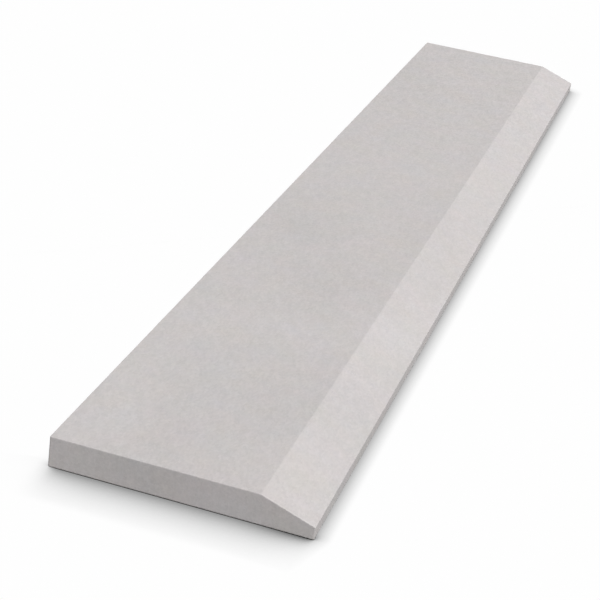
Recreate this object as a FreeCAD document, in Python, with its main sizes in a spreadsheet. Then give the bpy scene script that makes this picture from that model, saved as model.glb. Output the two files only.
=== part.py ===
# A stone door threshold, sawn and ground from one piece: a long flat slab whose front
# edge is taken down in one wide bevel, from the tread to a low upright nose.
#
# The slab lies as it is bedded in a doorway. X runs across it, towards the nose, Y runs
# along it and Z is up. The origin is the middle of the underside.

import FreeCAD, Part

import math
import os

import Sketcher

NODE = "threshold_slab"

# Each driving size in millimetres, with what it measures.
SIZES = {
    "slab_length": (914.4, "end to end, cut for a 36 in doorway"),
    "slab_width": (152.4, "square back edge to nose, 6 in"),
    "slab_thickness": (19.05, "underside to tread, 3/4 in stock"),
    "bevel_run": (31.75, "how far the bevel reaches back from the nose, 1 1/4 in"),
    "nose_height": (7.94, "upright face left below the bevel, 5/16 in"),
    "ridge_radius": (3.0, "soft bend where the tread meets the bevel"),
    "arris_radius": (0.5, "eased edges round the tread, the bevel and the corners"),
    "foot_arris": (0.5, "45 degree arris round the underside"),
}

# How a sketch names a line's first and second end, and its own origin.
START, END = 1, 2
ORIGIN = (-1, 1)

# An edge lies on a face of the slab when it is closer to it than this share of the thickness.
NEAR = 0.01


def size_sheet(doc):
    """The spreadsheet of driving sizes: name, value and note, with the name as alias."""
    sheet = doc.addObject("Spreadsheet::Sheet", "sizes")
    for row, (name, (value, note)) in enumerate(SIZES.items(), start=1):
        sheet.set(f"A{row}", name)
        sheet.set(f"B{row}", str(value))
        sheet.set(f"C{row}", note)
        sheet.setAlias(f"B{row}", name)
    doc.recompute()
    return sheet


def section_sketch(body, sheet):
    """The slab's section, looking along Y: a rectangle whose upper front corner is cut off by
    the bevel, with a tangent arc for the soft ridge where the tread turns down into it."""
    sketch = body.newObject("Sketcher::SketchObject", "section")
    upright_plane = next(
        plane for plane in body.Origin.OriginFeatures if plane.Role == "XZ_Plane"
    )
    sketch.AttachmentSupport = [(upright_plane, "")]
    sketch.MapMode = "FlatFace"

    # The section's corners, and the ridge where tread and bevel would meet if it were sharp.
    half_width = sheet.slab_width / 2
    back_foot = FreeCAD.Vector(-half_width, 0)
    nose_foot = FreeCAD.Vector(half_width, 0)
    nose_top = FreeCAD.Vector(half_width, sheet.nose_height)
    sharp_ridge = FreeCAD.Vector(half_width - sheet.bevel_run, sheet.slab_thickness)
    back_top = FreeCAD.Vector(-half_width, sheet.slab_thickness)

    # The bend leaves tread and bevel at the same distance from the sharp ridge.
    slope = math.atan2(sheet.slab_thickness - sheet.nose_height, sheet.bevel_run)
    reach = sheet.ridge_radius * math.tan(slope / 2)
    bend_low = sharp_ridge + FreeCAD.Vector(math.cos(slope), -math.sin(slope)) * reach
    bend_high = sharp_ridge - FreeCAD.Vector(reach, 0)
    bend_centre = bend_high - FreeCAD.Vector(0, sheet.ridge_radius)
    bend_circle = Part.Circle(bend_centre, FreeCAD.Vector(0, 0, 1), sheet.ridge_radius)
    level = math.pi / 2

    underside = sketch.addGeometry(Part.LineSegment(back_foot, nose_foot), False)
    nose = sketch.addGeometry(Part.LineSegment(nose_foot, nose_top), False)
    bevel = sketch.addGeometry(Part.LineSegment(nose_top, bend_low), False)
    bend = sketch.addGeometry(Part.ArcOfCircle(bend_circle, level - slope, level), False)
    tread = sketch.addGeometry(Part.LineSegment(bend_high, back_top), False)
    back = sketch.addGeometry(Part.LineSegment(back_top, back_foot), False)
    ridge = sketch.addGeometry(Part.Point(sharp_ridge), True)

    # The outline joins end to end, and the bend runs smoothly into tread and bevel. The
    # underside is centred on the origin, and the ridge point is on both lines it stands for.
    rules = [
        ("Coincident", underside, END, nose, START),
        ("Coincident", nose, END, bevel, START),
        ("Tangent", bevel, END, bend, START),
        ("Tangent", bend, END, tread, START),
        ("Coincident", tread, END, back, START),
        ("Coincident", back, END, underside, START),
        ("Horizontal", underside),
        ("Vertical", nose),
        ("Horizontal", tread),
        ("Vertical", back),
        ("Symmetric", underside, START, underside, END, *ORIGIN),
        ("PointOnObject", ridge, START, tread),
        ("PointOnObject", ridge, START, bevel),
    ]
    for rule in rules:
        sketch.addConstraint(Sketcher.Constraint(*rule))

    dimensions = [
        ("slab_width", "DistanceX", underside, START, underside, END),
        ("slab_thickness", "DistanceY", back, END, back, START),
        ("nose_height", "DistanceY", nose, START, nose, END),
        ("bevel_run", "DistanceX", ridge, START, nose, END),
        ("ridge_radius", "Radius", bend),
    ]
    for alias, kind, *points in dimensions:
        index = sketch.addConstraint(Sketcher.Constraint(kind, *points, getattr(sheet, alias)))
        sketch.renameConstraint(index, alias)
        sketch.setExpression(f"Constraints.{alias}", f"{sheet.Name}.{alias}")
    return sketch


def slab_pad(body, sheet, sketch):
    """The section carried along Y, the same distance each way from the middle."""
    pad = body.newObject("PartDesign::Pad", "length")
    pad.Profile = sketch
    pad.SideType = "Symmetric"
    pad.setExpression("Length", f"{sheet.Name}.slab_length")
    return pad


def edges_where(feature, wanted):
    """The names of the feature's edges whose middle point satisfies wanted."""
    names = []
    for number, edge in enumerate(feature.Shape.Edges, start=1):
        middle = edge.valueAt((edge.FirstParameter + edge.LastParameter) / 2)
        if wanted(middle):
            names.append(f"Edge{number}")
    return names


def ease_foot(body, sheet, stock):
    """Takes the sharp sawn arris off all round the underside."""
    near = sheet.slab_thickness * NEAR

    def on_underside(middle):
        return abs(middle.z) < near

    foot = body.newObject("PartDesign::Chamfer", "foot_chamfer")
    foot.Base = (stock, edges_where(stock, on_underside))
    foot.setExpression("Size", f"{sheet.Name}.foot_arris")
    return foot


def ease_arrises(body, sheet, stock):
    """Rounds the outline of the tread and the bevel, and the four upright corners."""
    near = sheet.slab_thickness * NEAR
    half_width = sheet.slab_width / 2
    half_length = sheet.slab_length / 2

    def on_outline(middle):
        at_long_side = abs(abs(middle.x) - half_width) < near
        at_end = abs(abs(middle.y) - half_length) < near
        return (at_long_side or at_end) and middle.z > sheet.foot_arris + near

    arrises = body.newObject("PartDesign::Fillet", "eased_arrises")
    arrises.Base = (stock, edges_where(stock, on_outline))
    arrises.setExpression("Radius", f"{sheet.Name}.arris_radius")
    return arrises


def threshold_slab(doc, sheet):
    """The whole threshold: one body, from section to eased arrises."""
    body = doc.addObject("PartDesign::Body", "slab")
    body.Label = NODE
    feature = slab_pad(body, sheet, section_sketch(body, sheet))
    doc.recompute()
    for step in (ease_foot, ease_arrises):
        feature = step(body, sheet, feature)
        doc.recompute()
    body.Tip = feature
    body.Placement = FreeCAD.Placement()
    return body


def check(doc, body):
    """Stops the build if a feature failed or the slab isn't one sound solid."""
    failed = [o.Name for o in doc.Objects if "Invalid" in o.State or "Error" in o.State]
    if failed:
        raise RuntimeError(f"features failed: {failed}")
    loose = [o.Name for o in doc.Objects if o.isDerivedFrom("Sketcher::SketchObject")
             and not o.FullyConstrained]
    if loose:
        raise RuntimeError(f"sketches not fully constrained: {loose}")
    if body.Shape.isNull() or not body.Shape.isValid() or len(body.Shape.Solids) != 1:
        raise RuntimeError("the slab isn't one valid solid")


document = FreeCAD.newDocument("stone_threshold")
sizes = size_sheet(document)
slab = threshold_slab(document, sizes)
document.recompute()
check(document, slab)

os.makedirs("parts", exist_ok=True)
slab.Shape.exportStep(f"parts/{slab.Label}.step")

box = slab.Shape.optimalBoundingBox()
print(f"{slab.Label}: {box.XLength:.2f} x {box.YLength:.2f} x {box.ZLength:.2f} mm")
print(f"volume {slab.Shape.Volume / 1e6:.4f} litres, {len(slab.Shape.Faces)} faces")
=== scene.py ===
"""A honed stone door threshold on a white studio floor, seen from above its near end.

The slab's mesh is its ground section carried from end to end, with every arris eased. The
stone is one procedural material that runs through the block: clouds, mottling and a fine
crystal grain in the slab's own coordinates, so that they meet at the edges as they do in a
sawn piece. Lengths are metres. X runs across the slab to its nose, Y along it and Z up.
"""

import math

import bmesh
import bpy
import numpy as np
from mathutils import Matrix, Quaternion, Vector


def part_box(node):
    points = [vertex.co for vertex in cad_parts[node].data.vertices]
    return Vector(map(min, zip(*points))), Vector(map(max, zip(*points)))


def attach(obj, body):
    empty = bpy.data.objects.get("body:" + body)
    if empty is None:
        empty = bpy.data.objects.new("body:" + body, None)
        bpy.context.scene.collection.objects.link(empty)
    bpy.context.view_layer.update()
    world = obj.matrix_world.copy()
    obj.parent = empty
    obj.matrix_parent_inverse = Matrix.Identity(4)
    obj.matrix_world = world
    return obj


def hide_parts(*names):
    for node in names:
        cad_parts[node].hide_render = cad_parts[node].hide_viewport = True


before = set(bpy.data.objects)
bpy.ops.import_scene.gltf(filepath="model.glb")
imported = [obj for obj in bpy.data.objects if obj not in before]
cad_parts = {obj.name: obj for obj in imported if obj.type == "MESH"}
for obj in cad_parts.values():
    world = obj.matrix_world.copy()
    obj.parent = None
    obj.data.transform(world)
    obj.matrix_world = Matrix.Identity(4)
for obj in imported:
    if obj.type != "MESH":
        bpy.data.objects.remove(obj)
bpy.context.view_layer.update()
NODE = "threshold_slab"

# The slab as it is ground. Its length, width and thickness come from its part in model.glb.
BEVEL_RUN = 0.03175
NOSE_HEIGHT = 0.00794
RIDGE_RADIUS = 0.003
ARRIS_RADIUS = 0.0005
FOOT_ARRIS = 0.0005

# The section's sides are numbered in order round it: underside, nose, bevel, tread and back.
# The bend at the start of a side has that side's number.
UNDERSIDE = 0
BEVEL = 2
TREAD = 3
BACK = 4

# How finely the surface is laid out. A side's own points start clear of its bends, at this
# many times a bend's reach, and each end has one ring this share of the way in from its
# arris, so that the smooth shading turns only at the bends. Points nearer than the seam join.
MESH_PITCH = 0.0026
CLEAR_OF_BEND = 1.5
BEND_STEPS = 6
CAP_STEPS = 5
CAP_MARGIN = 0.04
SEAM = 1e-6
QUARTER_TURN = math.pi / 2

# Relief, always into the stone, so that the slab stays inside its own box: a slow wave from
# the honing, the steps of a round saw blade, broad and fine, and arrises that vary in size.
HONING_WAVE = 0.00004
HONING_PITCH = (0.045, 0.06, 0.045)
SAW_STEP = 0.00014
SAW_PITCH = 0.013
SAW_RADIUS = 0.35
BROAD_STEPS = 0.35
FINE_STEPS = 0.65
FINE_PER_BROAD = 2.7
RELIEF_FADE = 0.008
ARRIS_WANDER = 0.12
WANDER_PITCH = 0.05

# The seed of each noise in the mesh, and the place in its lattice that it counts from.
HONING_SEED = 5
HONING_START = (9, 20, 9)
BROAD_SEED = 7
BROAD_START = 20
FINE_SEED = 8
WANDER_SEED = 11
WANDER_START = 30

# The finished stone, as linear colours. Tone 0 is the plain stone, and the two end colours
# are one tone reach to each side of it. The drift of hue is by red, green and blue.
CLOUD_DARK = (0.467, 0.446, 0.441, 1.0)
CLOUD_LIGHT = (0.638, 0.606, 0.600, 1.0)
TONE_REACH = 0.16
HUE_DRIFT = (0.100, 0.000, 0.115)
# The arrises are painted darker. This is painted shade on every arris but the ridge, and it
# deepens the dark line where the foot meets the floor.
PAINTED_ARRIS_SHADE = -0.020
# The bevel is painted lighter. This is painted light, standing in for the light the bevel catches
# as it faces the key light.
PAINTED_BEVEL_LIGHT = 0.055
HONED_ROUGHNESS = 0.66
SAWN_ROUGHNESS = 0.80
SPECULAR = 0.30

# The noises in the stone: how large a feature is, its detail and its roughness.
CLOUD_SWIRL = (0.055, 3.0, 0.55)
CLOUD_VEIL = (0.07, 3.0, 0.5)
MOTTLE = (0.016, 2.0, 0.5)
SPECKLE = (0.005, 4.0, 0.8)
HUES = (0.030, 4.0, 0.75)
PITS = (0.0012, 3.0, 0.6)
KERF = (0.0024, 2.0, 0.5)
CRYSTAL = 0.0011

# How strong each is: in metres of shift or depth, in tone, or as a share of the grain.
CLOUD_SHIFT = (0.09, 0.09, 0.04)
VEIL_TONE = 0.050
MOTTLE_TONE = 0.030
SPECKLE_TONE = 0.24
CRYSTAL_TONE = 0.085
PIT_DEPTH = 0.00004
KERF_DEPTH = 0.00010
GRAIN_IN_ROUGHNESS = 0.6
GRAIN_IN_HEIGHT = 1.5

# The grain is longer along the slab than across it, as the stone was laid down, and stronger
# towards the far end, between these places along it. The blade's marks are drawn out upwards.
GRAIN_DRAW = 2.0
FAR_GRAIN = 1.40
FAR_GRAIN_FADE = (0.02, 0.34)
KERF_DRAW = (1.0, 1.0, 0.08)

# Broad clouds in the block, and one band of painted light along the bevel: centre (x, y, z),
# half-lengths along its own axes, turn about Z in degrees, and how much lighter or darker it is
# than the stone round it. At a distance of d half-lengths from the centre a cloud has
# CLOUD_PEAK (1 - CLOUD_CORE d)^2 of that tone.
CLOUD_CORE = 0.6
CLOUD_PEAK = 1.8
CLOUDS_AND_BEVEL_LIGHT = (
    ((0.000, -0.430, 0.012), (0.110, 0.085, 0.050), 0, 0.022),
    ((-0.012, -0.450, 0.008), (0.024, 0.045, 0.030), 10, -0.024),
    ((-0.024, -0.415, 0.010), (0.034, 0.060, 0.045), 10, -0.024),
    ((0.022, -0.378, 0.012), (0.045, 0.040, 0.040), -15, -0.024),
    ((-0.070, -0.400, 0.015), (0.022, 0.110, 0.050), 0, 0.020),
    ((-0.020, -0.270, 0.015), (0.085, 0.036, 0.050), 12, 0.022),
    ((0.052, -0.215, 0.012), (0.034, 0.048, 0.050), -20, 0.030),
    ((0.062, -0.335, 0.012), (0.030, 0.050, 0.050), 0, -0.022),
    ((-0.052, -0.085, 0.015), (0.040, 0.075, 0.050), 22, -0.030),
    ((0.018, -0.185, 0.015), (0.044, 0.052, 0.050), 30, -0.028),
    ((0.060, -0.050, 0.012), (0.030, 0.090, 0.050), 0, -0.024),
    ((0.000, 0.100, 0.015), (0.060, 0.120, 0.050), 10, 0.004),
    ((-0.060, 0.330, 0.015), (0.060, 0.220, 0.050), 0, -0.020),
    # Not a cloud: a band the length of the bevel, painted lighter, which is painted light.
    ((0.062, -0.050, 0.012), (0.022, 0.600, 0.030), 0, 0.010),
)

# The light: the direction and strength of the key light and of a weak fill from behind, and
# what comes from the white surround and from the floor, in the open and under the slab's edge.
TOWARDS_KEY = Vector((0.489, -0.388, 0.872))
KEY_STRENGTH = 3.378
KEY_SPREAD = math.radians(28)
TOWARDS_FILL = Vector((-0.300, 0.250, 0.030))
FILL_STRENGTH = 1.10
FILL_SPREAD = math.radians(12)
LAMP_DISTANCE = 2.0
SURROUND = 0.10
FLOOR_BOUNCE = 0.37
# Under the slab's edge the floor's bounce colour is painted darker, as painted shade that darkens
# the foot.
CONTACT_BOUNCE = 0.15 * FLOOR_BOUNCE

# The floor, a hair below the slab.
FLOOR_REACH = 30.0
FLOOR_DROP = 0.0001
FLOOR_WHITE = 0.992

# The slab's soft shadow, painted into the floor, by its depth and by how far it reaches on each
# side, and the least light that is left in it.
FRONT_SHADOW = 1.40
NOSE_CORNER_SHADOW = 1.74
NEAR_SIDE_SHADOW = 1.03
FAR_SIDE_SHADOW = 1.18
BACK_SHADOW = 0.95
CORNER_SHADOW = 0.15
FRONT_REACH = 0.036
NEAR_SIDE_REACH = 0.0097
FAR_SIDE_REACH = 0.0139
SHADOW_SAMPLES = 16
DARKEST = 0.02

# Where one part of the shadow goes over into the next, as distances from an edge of the slab,
# and the range of floor brightness over which its bounce fades.
END_FADE = (0.0, 0.009)
NOSE_FADE = (-0.005, 0.008)
BEVEL_FADE = (-0.046, 0.0)
CORNER_FADE = (-0.009, 0.007)
BACK_FADE = (0.020, 0.090)
BOUNCE_FADE = (0.10, 0.42)

# The camera, as the photograph was taken: a long lens looking down the slab, slightly rolled.
CAMERA_PLACE = Vector((0.2268, -1.1851, 0.4779))
CAMERA_AIM = Vector((-0.0080, -0.2150, 0.0191))
CAMERA_ROLL = math.radians(8.08)
SENSOR_WIDTH = 36.0
LENS = 100.0


def unit(vectors):
    """Each vector divided by its own length."""
    return vectors / np.linalg.norm(vectors, axis=-1, keepdims=True)


def eased(share):
    """A share from 0 to 1 that starts and ends gently: 3t^2 - 2t^3."""
    return share * share * (3 - 2 * share)


def smooth_noise(seed, *places):
    """Value noise from 0 to 1 on places given in units of one feature.

    Each whole-number lattice point has a random value, and a place takes the mix of the
    values round it, weighted by the eased distance past the lower one on each axis.
    """
    side = 64
    lattice = np.random.default_rng(seed).random((side,) * len(places))
    lower = [np.floor(place).astype(int) for place in places]
    weight = [eased(place - low) for place, low in zip(places, lower)]
    total = np.zeros(np.broadcast(*places).shape)
    for corner in np.ndindex((2,) * len(places)):
        value = lattice[tuple((low + step) % side for low, step in zip(lower, corner))]
        share = np.ones_like(total)
        for step, w in zip(corner, weight):
            share = share * (w if step else 1 - w)
        total += value * share
    return total


def section_outline(half_width, thickness):
    """The slab's section in XZ as arrays of points, counter-clockwise from the back foot.

    A corner with a bend radius r becomes an arc: it leaves the side before it at
    r tan(turn / 2) short of the corner and turns steadily about a centre r inside that side.
    A foot corner is a chamfer, a chord between points one arris from the corner. Points on
    the straight sides are evenly spaced. Returned are the sharp corner or straight point each
    belongs to, the swing from it that grows with the bend, its side, whether it bends, and
    how far along its side it is from the nearer corner.
    """
    corners = np.array([
        (-half_width, 0.0),
        (half_width, 0.0),
        (half_width, NOSE_HEIGHT),
        (half_width - BEVEL_RUN, thickness),
        (-half_width, thickness),
    ])
    bends = np.array([FOOT_ARRIS, FOOT_ARRIS, ARRIS_RADIUS, RIDGE_RADIUS, ARRIS_RADIUS])
    chamfered = np.array([True, True, False, False, False])
    ways_in = unit(corners - np.roll(corners, 1, axis=0))
    ways_out = np.roll(ways_in, -1, axis=0)
    turns = np.arccos(np.clip((ways_in * ways_out).sum(axis=1), -1, 1))
    reaches = bends * np.where(chamfered, 1.0, np.tan(turns / 2))
    clear = (reaches * CLEAR_OF_BEND)[:, None]
    starts = corners + ways_out * clear
    ends = np.roll(corners, -1, axis=0) - ways_out * np.roll(clear, -1, axis=0)

    parts = []
    for side, (corner, way_in, way_out) in enumerate(zip(corners, ways_in, ways_out)):
        if chamfered[side]:
            swing = np.array([-way_in, way_out]) * reaches[side]
        else:
            angle = np.linspace(0, turns[side], BEND_STEPS + 1)[:, None]
            inward = np.array([-way_in[1], way_in[0]])
            arc = inward * (1 - np.cos(angle)) + way_in * np.sin(angle)
            swing = arc * bends[side] - way_in * reaches[side]
        none = np.zeros(len(swing))
        parts.append((corner + 0 * swing, swing, none + side, none + 1, none))

        run = ends[side] - starts[side]
        length = np.linalg.norm(run)
        count = max(2, round(length / MESH_PITCH) + 1)
        points = starts[side] + run * np.linspace(0, 1, count)[:, None]
        way = np.linspace(0, length, count)
        none = np.zeros(count)
        parts.append((points, 0 * points, none + side, none, np.minimum(way, way[::-1])))
    return [np.concatenate(part) for part in zip(*parts)]


def mitres(outline):
    """For each point of a closed outline, how far it moves when every side moves in by one.

    With outward side normals a and b before and after the point, that is (a + b) / (1 + a.b).
    """
    side = unit(np.roll(outline, -1, axis=0) - outline)
    after = np.stack([side[:, 1], -side[:, 0]], axis=1)
    before = np.roll(after, 1, axis=0)
    return (before + after) / (1 + (before * after).sum(axis=1, keepdims=True))


def stations(half_length):
    """Where the section is drawn along the slab: its share of the way, turn and closing share.

    The share runs from -1 to 1 over the part between the end arrises. There the section turns
    through a quarter circle, and then closes across the flat end, from 0 to 1.
    """
    clear = 1 - ARRIS_RADIUS / half_length
    along = np.linspace(-clear, clear, round(2 * half_length / MESH_PITCH) + 1)
    along = np.concatenate([[-1], along, [1]])
    turn = np.linspace(0, QUARTER_TURN, BEND_STEPS + 1)[1:]
    closing = np.concatenate([[CAP_MARGIN], np.linspace(0, 1, CAP_STEPS + 1)[1:]])
    end_turn = np.concatenate([turn, np.full(len(closing), QUARTER_TURN)])
    end_close = np.concatenate([np.zeros(BEND_STEPS), closing])
    at_end = np.ones(len(end_turn))
    between = np.zeros(len(along))
    way = np.concatenate([-at_end, along, at_end])
    turned = np.concatenate([-end_turn[::-1], between, end_turn])
    closed = np.concatenate([end_close[::-1], between, end_close])
    return way, turned, closed


def slab_surface(outline, rings, half_width, half_length, thickness):
    """The slab's points: its section carried along Y, a grid of outline point by station.

    point = anchor + wander(y) swing - (inset + relief) mitre, drawn towards the section's
    middle line across each end. Relief is a slow honing wave on the worked faces, and
    underneath the steps of a round saw blade, which are circles about a point one saw radius
    behind the slab's middle. Relief is eased out towards every edge.
    """
    anchors, swings, sides, bending, inland = outline
    way, turned, closed = rings
    mitre = mitres(anchors + swings)

    # The underside is chamfered at the ends as well, so there its turn is a straight line.
    foot = ((anchors + swings)[:, 1] < FOOT_ARRIS / 2)[:, None]
    ease = np.where(foot, FOOT_ARRIS, ARRIS_RADIUS)
    share = np.abs(turned) / QUARTER_TURN
    out = np.where(foot, share, np.sin(np.abs(turned))) * np.sign(turned)
    inset = np.where(foot, share, 1 - np.cos(turned)) * ease
    y = way * (half_length - ease) + out * ease

    # The arrises vary a little in size. The ridge's bend and the foot's chamfer don't.
    steady = (sides[:, None] == TREAD) | foot | (anchors[:, 1:] == 0)
    noise = smooth_noise(WANDER_SEED, way * half_length / WANDER_PITCH + WANDER_START)
    wander = 1 + np.where(steady, 0, ARRIS_WANDER) * (2 * noise - 1)
    x = anchors[:, :1] + wander * swings[:, :1]
    z = anchors[:, 1:] + wander * swings[:, 1:]

    middle_x = np.clip(x, -half_width + thickness / 2, half_width - NOSE_HEIGHT / 2)
    slope = np.clip((middle_x - (half_width - BEVEL_RUN)) / BEVEL_RUN, 0, 1)
    middle_z = (thickness + (NOSE_HEIGHT - thickness) * slope) / 2

    places = [v / pitch + start for v, pitch, start in zip((x, y, z), HONING_PITCH, HONING_START)]
    honed = HONING_WAVE * smooth_noise(HONING_SEED, *places)
    circle = np.hypot(x + SAW_RADIUS, y) / SAW_PITCH
    broad = BROAD_STEPS * smooth_noise(BROAD_SEED, circle + BROAD_START)
    fine = FINE_STEPS * smooth_noise(FINE_SEED, circle * FINE_PER_BROAD)
    underneath = ((sides == UNDERSIDE) & (bending == 0))[:, None]
    from_edge = np.minimum(inland[:, None], half_length - ease - np.abs(y))
    fade = eased(np.clip(from_edge / RELIEF_FADE, 0, 1))
    relief = np.where(underneath, SAW_STEP * (broad + fine), honed) * fade

    x = x - (inset + relief) * mitre[:, :1]
    z = z - (inset + relief) * mitre[:, 1:]
    x = x + (middle_x - x) * closed
    z = z + (middle_z - z) * closed
    return np.stack([x, y, z], axis=-1)


def slab_finishes_and_painted_light(outline, rings):
    """The finish of each point of the slab's grid, from 0 to 1.

    It is sawn underneath, at the back and on the ends, and honed elsewhere. The arrises are
    marked for painted shade, and the bevel for painted light, which fades in across the bends on
    each side of it.
    """
    _, _, sides, bending, _ = outline
    _, turned, closed = rings
    bend = bending > 0
    on_end = np.abs(turned) == QUARTER_TURN
    sawn = ((sides == BACK) | (sides == UNDERSIDE) & ~bend)[:, None] & (turned == 0)
    arris = (bend & (sides != TREAD))[:, None] & (closed == 0)
    ground = ((sides == BEVEL) & ~bend).astype(float)
    ground[(sides == BEVEL) & bend] = np.linspace(0, 1, BEND_STEPS + 1)
    ground[(sides == TREAD) & bend] = np.linspace(1, 0, BEND_STEPS + 1)
    return {
        "sawn": sawn | on_end,
        "arris": arris | ((turned != 0) & (closed == 0)),
        "ground": ground[:, None] * ~on_end,
    }


def tube_mesh(name, points):
    """A mesh of the quads between a grid's points, whose rows close into a ring."""
    rows, columns, _ = points.shape
    here = np.arange(rows)[:, None] * columns + np.arange(columns - 1)
    following = np.roll(here, -1, axis=0)
    quads = np.stack([here, here + 1, following + 1, following], axis=-1)
    mesh = bpy.data.meshes.new(name)
    mesh.from_pydata(points.reshape(-1, 3).tolist(), [], quads.reshape(-1, 4).tolist())
    return mesh


def close_seams(mesh):
    """Joins the points that meet along each end's middle line, and smooths the shading."""
    shell = bmesh.new()
    shell.from_mesh(mesh)
    bmesh.ops.remove_doubles(shell, verts=shell.verts, dist=SEAM)
    bmesh.ops.recalc_face_normals(shell, faces=shell.faces)
    for face in shell.faces:
        face.smooth = True
    shell.to_mesh(mesh)
    shell.free()


def dressed_slab():
    """The slab's surface as a piece, with its finishes and its painted light and shade kept as
    numbers on its points.
    """
    half_width, half_length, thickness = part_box(NODE)[1]
    outline = section_outline(half_width, thickness)
    rings = stations(half_length)
    points = slab_surface(outline, rings, half_width, half_length, thickness)
    mesh = tube_mesh("dressed_slab", points)
    for name, values in slab_finishes_and_painted_light(outline, rings).items():
        layer = mesh.attributes.new(name, "FLOAT", "POINT")
        layer.data.foreach_set("value", np.asarray(values, float).ravel())
    close_seams(mesh)
    slab = bpy.data.objects.new("dressed_slab", mesh)
    bpy.context.collection.objects.link(slab)
    return slab


class Nodes:
    """Short forms for adding and joining shader nodes in one tree."""

    def __init__(self, tree):
        self.tree = tree
        tree.nodes.clear()

    def add(self, kind, settings=None, **inputs):
        """A node with its settings, and its inputs given as values or as other sockets."""
        node = self.tree.nodes.new(kind)
        for name, value in (settings or {}).items():
            setattr(node, name, value)
        for name, value in inputs.items():
            self.feed(node.inputs[name.replace("_", " ")], value)
        return node

    def feed(self, socket, value):
        """Joins a socket to another one, or sets it."""
        if isinstance(value, bpy.types.NodeSocket):
            self.tree.links.new(value, socket)
        else:
            socket.default_value = value

    def worked(self, kind, operation, values):
        """The first output of a Math or Vector Math node on its inputs in order."""
        node = self.add(kind, {"operation": operation})
        for socket, value in zip(node.inputs, values):
            self.feed(socket, value)
        return node.outputs[0]

    def number(self, operation, *values):
        """The result of a Math node on up to three values or sockets."""
        return self.worked("ShaderNodeMath", operation, values)

    def vector(self, operation, *values):
        """The result of a Vector Math node on vectors or sockets."""
        return self.worked("ShaderNodeVectorMath", operation, values)

    def point_value(self, name):
        """A number that the mesh keeps for each of its points."""
        return self.add("ShaderNodeAttribute", {"attribute_name": name}).outputs["Fac"]

    def noise(self, place, feature, detail, roughness, output="Fac"):
        """Noise whose features are about that many metres across."""
        node = self.add(
            "ShaderNodeTexNoise", Vector=place, Scale=1 / feature, Detail=detail,
            Roughness=roughness,
        )
        return node.outputs[output]

    def centred(self, value, amount):
        """A value from 0 to 1, moved to lie about 0 and scaled: (value - 0.5) amount."""
        return self.number("MULTIPLY_ADD", value, amount, -0.5 * amount)

    def blend(self, share, first, second):
        """The first number where the share is 0, going over to the second where it is 1."""
        node = self.add("ShaderNodeMix", {"data_type": "FLOAT"}, Factor=share, A=first, B=second)
        return node.outputs["Result"]

    def colour(self, share, first, second, way="MIX"):
        """The first colour where the share is 0, going over to the second where it is 1, or
        there to the two combined in the way given."""
        settings = {"data_type": "RGBA", "blend_type": way}
        node = self.add("ShaderNodeMix", settings, Factor=share, A=first, B=second)
        return node.outputs["Result"]

    def grey(self, value):
        """A number as a colour without hue."""
        node = self.add("ShaderNodeCombineColor", Red=value, Green=value, Blue=value)
        return node.outputs["Color"]

    def span(self, value, low, high, to_low=0.0, to_high=1.0):
        """A value mapped smoothly from one range to another and held at its ends."""
        node = self.add(
            "ShaderNodeMapRange", {"interpolation_type": "SMOOTHSTEP"}, Value=value,
            From_Min=low, From_Max=high, To_Min=to_low, To_Max=to_high,
        )
        return node.outputs["Result"]


def about_none(nodes, colour):
    """A noise's colour moved to lie about 0."""
    return nodes.vector("SUBTRACT", colour, (0.5, 0.5, 0.5))


def clouds_and_bevel_light(nodes, place):
    """The block's broad clouds and a band of painted light on the bevel: a sum of soft ellipsoids
    on a place that noise has bent.
    """
    offset = about_none(nodes, nodes.noise(place, *CLOUD_SWIRL, output="Color"))
    bent = nodes.vector("ADD", place, nodes.vector("MULTIPLY", offset, CLOUD_SHIFT))
    tone = nodes.centred(nodes.noise(bent, *CLOUD_VEIL), VEIL_TONE)
    for centre, half_lengths, turn, amount in CLOUDS_AND_BEVEL_LIGHT:
        turned = nodes.add(
            "ShaderNodeMapping", {"vector_type": "TEXTURE"}, Vector=bent, Location=centre,
            Rotation=(0.0, 0.0, math.radians(turn)), Scale=half_lengths,
        )
        wide = nodes.vector("MULTIPLY", turned.outputs["Vector"], (CLOUD_CORE,) * 3)
        ball = nodes.add(
            "ShaderNodeTexGradient", {"gradient_type": "QUADRATIC_SPHERE"}, Vector=wide,
        )
        tone = nodes.number("MULTIPLY_ADD", ball.outputs["Fac"], amount * CLOUD_PEAK, tone)
    return tone


def crystal_grain(nodes, place):
    """The stone's fine grain, about 0: crystals near a millimetre in coarser speckle."""
    place = nodes.vector("MULTIPLY", place, (1.0, 1 / GRAIN_DRAW, 1.0))
    crystals = nodes.add("ShaderNodeTexVoronoi", Vector=place, Scale=1 / CRYSTAL)
    split = nodes.add("ShaderNodeSeparateColor", Color=crystals.outputs["Color"])
    fine = nodes.centred(split.outputs["Red"], CRYSTAL_TONE)
    speckle = nodes.centred(nodes.noise(place, *SPECKLE), SPECKLE_TONE)
    return nodes.number("ADD", fine, speckle)


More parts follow.
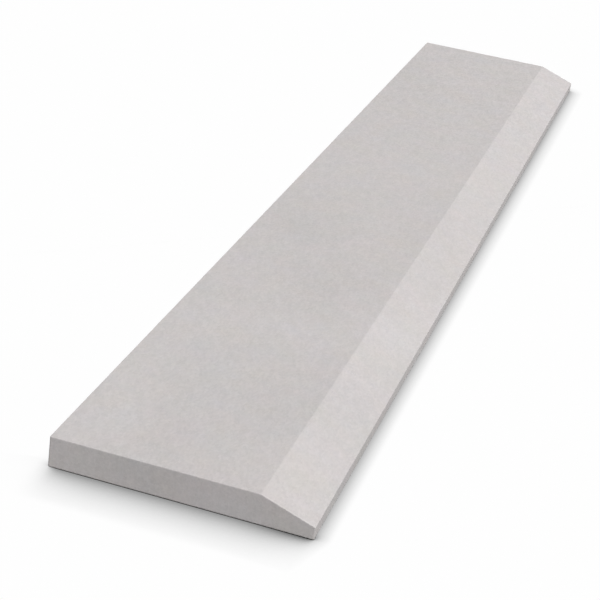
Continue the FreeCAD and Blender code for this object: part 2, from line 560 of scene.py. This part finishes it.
def honed_stone():
    """Pale warm grey stone, with clouds, mottling, a sandy grain and a faint drift of hue.

    The bevel is painted a little lighter, as painted light, and the arrises a little darker, as
    painted shade. The sawn faces are rougher, and the blade has scored them.
    """
    material = bpy.data.materials.new("honed_stone")
    material.use_nodes = True
    nodes = Nodes(material.node_tree)
    place = nodes.add("ShaderNodeTexCoord").outputs["Object"]
    sawn = nodes.point_value("sawn")

    along = nodes.add("ShaderNodeSeparateXYZ", Vector=place).outputs["Y"]
    stronger = nodes.span(along, *FAR_GRAIN_FADE, 1.0, FAR_GRAIN)
    grain = nodes.number("MULTIPLY", crystal_grain(nodes, place), stronger)
    mottle = nodes.centred(nodes.noise(place, *MOTTLE), MOTTLE_TONE)
    mottle = nodes.number("MULTIPLY", mottle, stronger)
    tone = nodes.number("ADD", clouds_and_bevel_light(nodes, place), mottle)
    tone = nodes.number("ADD", tone, grain)
    # Painted shade on the arrises, and painted light on the bevel.
    tone = nodes.number("MULTIPLY_ADD", nodes.point_value("arris"), PAINTED_ARRIS_SHADE, tone)
    tone = nodes.number("MULTIPLY_ADD", nodes.point_value("ground"), PAINTED_BEVEL_LIGHT, tone)

    shade = nodes.number("MULTIPLY_ADD", tone, 0.5 / TONE_REACH, 0.5)
    colour = nodes.colour(shade, CLOUD_DARK, CLOUD_LIGHT)
    drift = about_none(nodes, nodes.noise(place, *HUES, output="Color"))
    tint = nodes.vector("ADD", nodes.vector("MULTIPLY", drift, HUE_DRIFT), (1.0, 1.0, 1.0))
    tinted = nodes.colour(1.0, colour, tint, way="MULTIPLY")

    sawn_more = SAWN_ROUGHNESS - HONED_ROUGHNESS
    roughness = nodes.number("MULTIPLY_ADD", sawn, sawn_more, HONED_ROUGHNESS)
    polish = nodes.number("MULTIPLY", grain, GRAIN_IN_ROUGHNESS)
    roughness = nodes.number("SUBTRACT", roughness, polish)

    raised = nodes.number("MULTIPLY", grain, GRAIN_IN_HEIGHT)
    relief = nodes.add(
        "ShaderNodeBump", Strength=1.0, Distance=PIT_DEPTH,
        Height=nodes.number("ADD", nodes.noise(place, *PITS), raised),
    )
    kerf = nodes.noise(nodes.vector("MULTIPLY", place, KERF_DRAW), *KERF)
    saw_marks = nodes.add(
        "ShaderNodeBump", Strength=1.0, Distance=KERF_DEPTH, Normal=relief.outputs["Normal"],
        Height=nodes.number("MULTIPLY", kerf, sawn),
    )

    stone = nodes.add(
        "ShaderNodeBsdfPrincipled", Base_Color=tinted, Roughness=roughness,
        Specular_IOR_Level=SPECULAR, Normal=saw_marks.outputs["Normal"],
    )
    nodes.add("ShaderNodeOutputMaterial", Surface=stone.outputs["BSDF"])
    return material


def seen_directly(nodes):
    """1 for rays that show a thing as it looks: from the camera, a reflection or glass."""
    path = nodes.add("ShaderNodeLightPath")
    gloss = nodes.number("MAXIMUM", path.outputs["Is Camera Ray"], path.outputs["Is Glossy Ray"])
    return nodes.number("MAXIMUM", gloss, path.outputs["Is Transmission Ray"])


def floor_shadow(nodes):
    """The depth and the reach of the slab's shadow at each place on the floor.

    It is deep and wide in front of the near end, deepest before the bevel. Along the nose it
    is narrow and widens a little towards the far end. At the near back corner it is faint.
    """
    low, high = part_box(NODE)
    place = nodes.add("ShaderNodeTexCoord").outputs["Object"]
    across = nodes.add("ShaderNodeSeparateXYZ", Vector=place)
    x = across.outputs["X"]
    y = across.outputs["Y"]

    def past(value, edge, fade, before=0.0, after=1.0):
        """One number before an edge of the slab and another after it."""
        return nodes.span(value, edge + fade[0], edge + fade[1], before, after)

    before_end = past(y, low.y, END_FADE, 1.0, 0.0)
    short_of_nose = past(x, high.x, NOSE_FADE, 1.0, 0.0)
    in_front = nodes.number("MULTIPLY", before_end, short_of_nose)

    back_depth = past(y, low.y, BACK_FADE, CORNER_SHADOW, BACK_SHADOW)
    nose_depth = nodes.span(y, low.y, high.y, NEAR_SIDE_SHADOW, FAR_SIDE_SHADOW)
    side_depth = nodes.blend(nodes.span(x, low.x, high.x), back_depth, nose_depth)
    end_depth = past(x, high.x, BEVEL_FADE, FRONT_SHADOW, NOSE_CORNER_SHADOW)
    front_depth = nodes.blend(past(x, low.x, CORNER_FADE), CORNER_SHADOW, end_depth)
    depth = nodes.blend(in_front, side_depth, front_depth)

    side_reach = nodes.span(y, low.y, high.y, NEAR_SIDE_REACH, FAR_SIDE_REACH)
    reach = nodes.blend(in_front, side_reach, FRONT_REACH)
    return depth, reach


def white_floor():
    """White where it is seen directly, less the slab's shadow: 1 - depth covered.

    The shadow is painted: covered is the share of the sky within the shadow's reach that the
    slab hides. To the light that falls on the slab it is a pale grey, painted darker under the
    slab's edge as painted shade.
    """
    material = bpy.data.materials.new("white_floor")
    material.use_nodes = True
    nodes = Nodes(material.node_tree)
    depth, reach = floor_shadow(nodes)
    openness = nodes.add(
        "ShaderNodeAmbientOcclusion", {"samples": SHADOW_SAMPLES}, Distance=reach,
    )
    covered = nodes.number("SUBTRACT", 1.0, openness.outputs["AO"])
    lit = nodes.number("SUBTRACT", 1.0, nodes.number("MULTIPLY", depth, covered))
    lit = nodes.number("MAXIMUM", lit, DARKEST)
    white = nodes.number("MULTIPLY", lit, FLOOR_WHITE)
    glow = nodes.add("ShaderNodeEmission", Strength=white)
    tint = nodes.span(white, *BOUNCE_FADE, CONTACT_BOUNCE, FLOOR_BOUNCE)
    bounce = nodes.add("ShaderNodeBsdfDiffuse", Color=nodes.grey(tint))
    surface = nodes.add("ShaderNodeMixShader", Fac=seen_directly(nodes))
    nodes.feed(surface.inputs[1], bounce.outputs["BSDF"])
    nodes.feed(surface.inputs[2], glow.outputs["Emission"])
    nodes.add("ShaderNodeOutputMaterial", Surface=surface.outputs["Shader"])
    return material


def studio_floor():
    """A wide flat floor."""
    signs = ((-1, -1), (1, -1), (1, 1), (-1, 1))
    corners = [(x * FLOOR_REACH, y * FLOOR_REACH, -FLOOR_DROP) for x, y in signs]
    mesh = bpy.data.meshes.new("studio_floor")
    mesh.from_pydata(corners, [], [(0, 1, 2, 3)])
    mesh.materials.append(white_floor())
    floor = bpy.data.objects.new("studio_floor", mesh)
    bpy.context.collection.objects.link(floor)


def studio_world():
    """A surround that is seen as white and gives the slab a little light from all sides."""
    world = bpy.data.worlds.new("studio_world")
    world.use_nodes = True
    nodes = Nodes(world.node_tree)
    strength = nodes.number("MULTIPLY_ADD", seen_directly(nodes), 1 - SURROUND, SURROUND)
    surround = nodes.add("ShaderNodeBackground", Color=(1.0, 1.0, 1.0, 1.0), Strength=strength)
    nodes.add("ShaderNodeOutputWorld", Surface=surround.outputs["Background"])
    bpy.context.scene.world = world


def studio_lamp(name, towards, strength, spread):
    """A distant lamp that shines evenly from one side."""
    light = bpy.data.lights.new(name, "SUN")
    light.energy = strength
    light.angle = spread
    lamp = bpy.data.objects.new(name, light)
    lamp.rotation_euler = towards.to_track_quat("Z", "Y").to_euler()
    lamp.location = towards * LAMP_DISTANCE
    bpy.context.collection.objects.link(lamp)


def studio_camera():
    """The camera at the photograph's angle."""
    data = bpy.data.cameras.new("camera")
    data.sensor_width = SENSOR_WIDTH
    data.lens = LENS
    camera = bpy.data.objects.new("camera", data)
    camera.location = CAMERA_PLACE
    level = (CAMERA_AIM - CAMERA_PLACE).to_track_quat("-Z", "Y")
    camera.rotation_mode = "QUATERNION"
    camera.rotation_quaternion = level @ Quaternion((0, 0, 1), CAMERA_ROLL)
    bpy.context.collection.objects.link(camera)
    bpy.context.scene.camera = camera


slab = dressed_slab()
slab.data.materials.append(honed_stone())
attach(slab, "root")
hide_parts(NODE)

studio_floor()
studio_world()
studio_lamp("key_light", TOWARDS_KEY, KEY_STRENGTH, KEY_SPREAD)
studio_lamp("fill_light", TOWARDS_FILL, FILL_STRENGTH, FILL_SPREAD)
studio_camera()
bpy.context.scene.view_settings.view_transform = "Standard"
